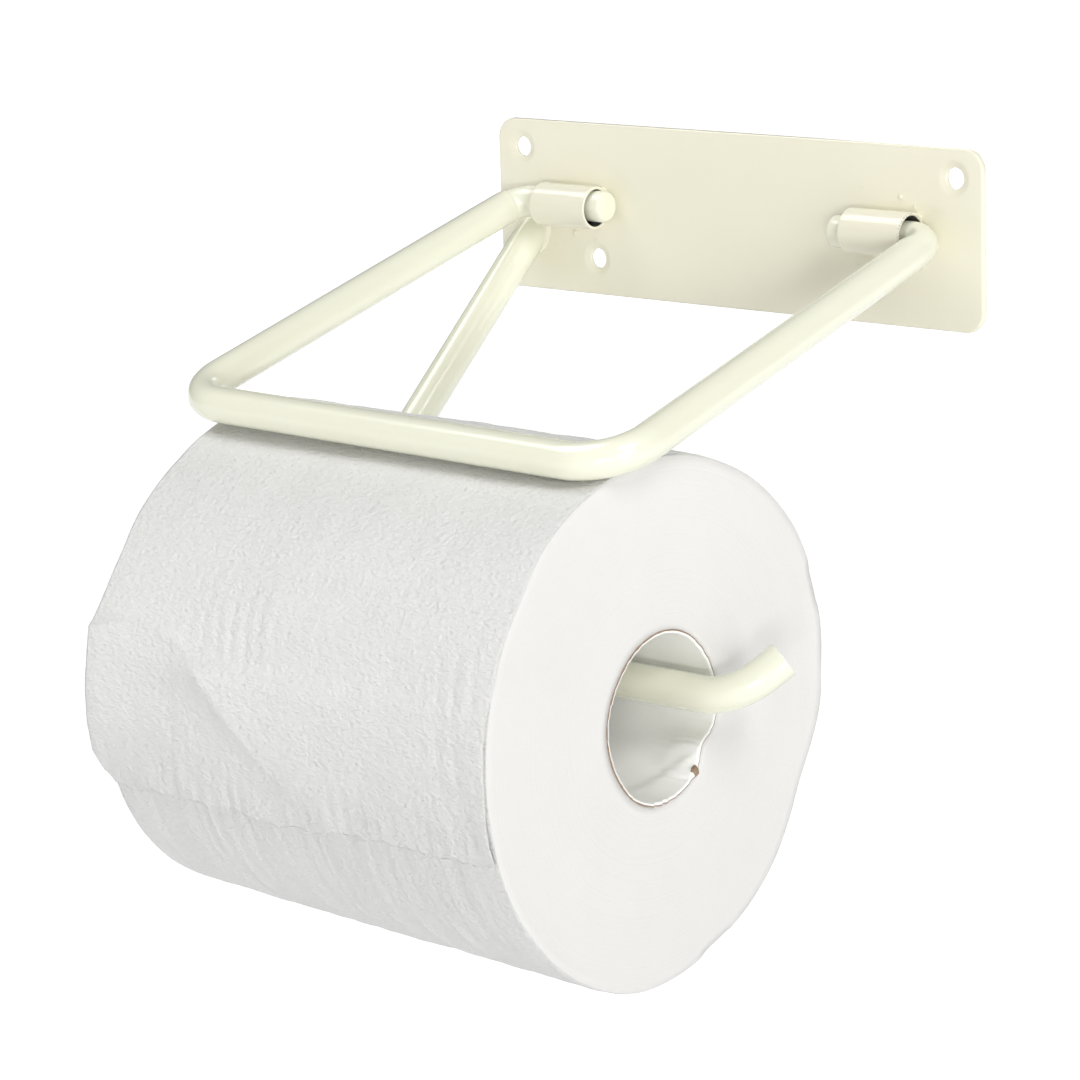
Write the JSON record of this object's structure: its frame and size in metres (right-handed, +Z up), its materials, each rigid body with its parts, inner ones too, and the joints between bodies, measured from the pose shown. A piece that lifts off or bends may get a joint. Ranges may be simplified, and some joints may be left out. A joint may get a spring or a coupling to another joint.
{
  "type": "paper towel holder",
  "caption": "Wall-mounted paper roll holder: a screwed plate, a hinged rod bail that rests on the roll, and a bent rod arm whose spindle carries the roll.",
  "frame": {"origin": "centre of the wall plate's back face, which lies on the wall", "axes": "+X right as seen from the front, +Y into the wall, +Z up; the roll's axis is parallel to X"},
  "size_m": [0.1467, 0.1578, 0.1621],
  "materials": {
    "cream_paint": "satin",
    "core_board": "matte",
    "wound_tissue": "matte",
    "tissue_sheet": "matte"
  },
  "bodies": {
    "wall_frame": {"wall_plate": "cream_paint", "left_hinge_tube": "cream_paint", "right_hinge_tube": "cream_paint", "left_tube_weld": "cream_paint", "right_tube_weld": "cream_paint", "arm_weld": "cream_paint", "support_arm": "cream_paint"},
    "bail": {"bail": "cream_paint"},
    "roll": {"roll_core": "core_board", "paper_roll": "wound_tissue", "loose_sheet": "tissue_sheet"}
  },
  "joints": [
    {"name": "bail_hinge", "type": "hinge", "parent": "wall_frame", "child": "bail", "pos_m": [0, -0.0067, 0.0013], "axis": [-1, 0, 0], "range_deg": [0, 104]},
    {"name": "roll_spin", "type": "hinge", "parent": "wall_frame", "child": "roll", "pos_m": [0, -0.1019, -0.0861], "axis": [1, 0, 0], "continuous": true}
  ]
}
